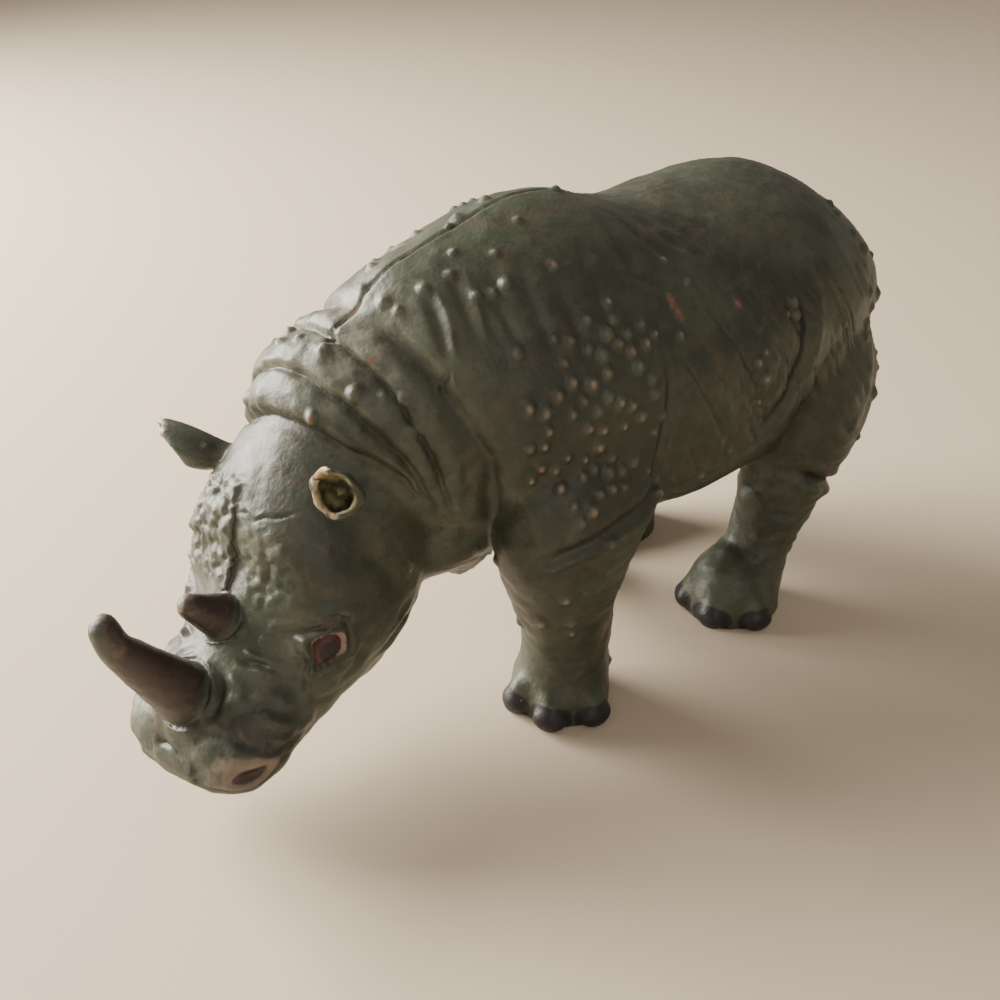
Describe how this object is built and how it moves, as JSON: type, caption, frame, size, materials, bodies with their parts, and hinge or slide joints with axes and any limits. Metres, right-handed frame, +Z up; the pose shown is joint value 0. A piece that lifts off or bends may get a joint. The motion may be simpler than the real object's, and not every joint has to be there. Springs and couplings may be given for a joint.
{
  "type": "rhinoceros figurine",
  "caption": "Toy rhinoceros that stands on its feet, its head low and turned to its left, in moulded plastic with hand-painted skin.",
  "frame": {"origin": "centre of the bounding box's footprint, on the plane of the soles", "axes": "+X from the horns to the tail, the long way; +Y towards the animal's right flank; +Z up"},
  "size_m": [0.1436, 0.0522, 0.0773],
  "materials": {
    "green_paint": "satin"
  },
  "bodies": {
    "root": {"rhinoceros": "green_paint"}
  },
  "joints": []
}
